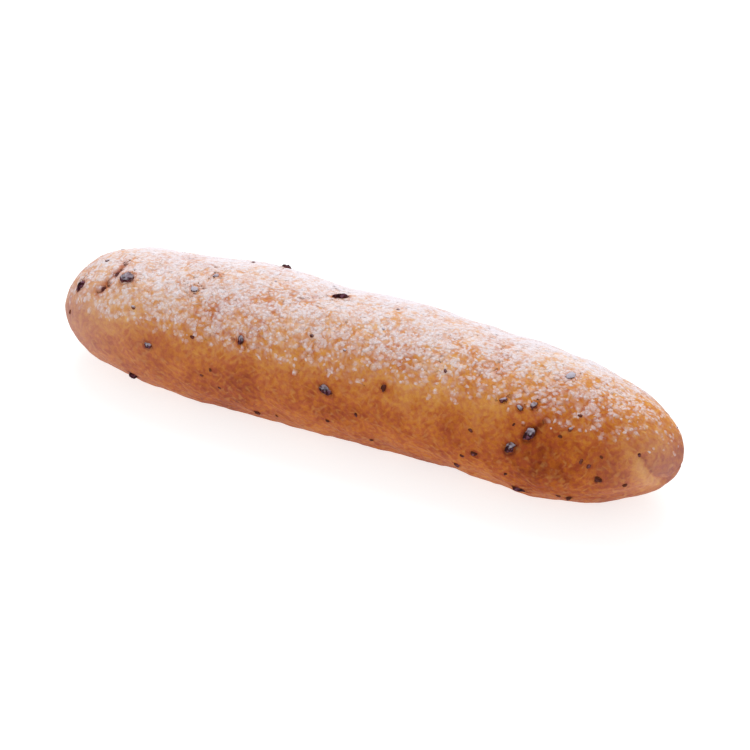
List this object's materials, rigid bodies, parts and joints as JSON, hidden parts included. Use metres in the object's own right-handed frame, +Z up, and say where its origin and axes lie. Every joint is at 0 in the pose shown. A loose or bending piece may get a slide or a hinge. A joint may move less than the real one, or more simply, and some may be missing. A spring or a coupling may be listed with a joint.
{
  "type": "baguette",
  "caption": "Short fruited baguette with rounded ends and a closed seam, flour-dusted crust with currants baked in; lies on its flat base.",
  "frame": {"origin": "on the surface the loaf rests on, under the middle of the loaf", "axes": "+X along the loaf, towards the end closed by a seam; -Y towards the side the picture shows; +Z up"},
  "size_m": [0.2794, 0.069, 0.0548],
  "materials": {
    "crust": "golden-brown baked crust with a faint shine",
    "currant": "dried fruit skin, near black, faint shine",
    "flour": "dusted flour, fully matte"
  },
  "bodies": {
    "root": {"loaf": "crust"}
  },
  "joints": []
}
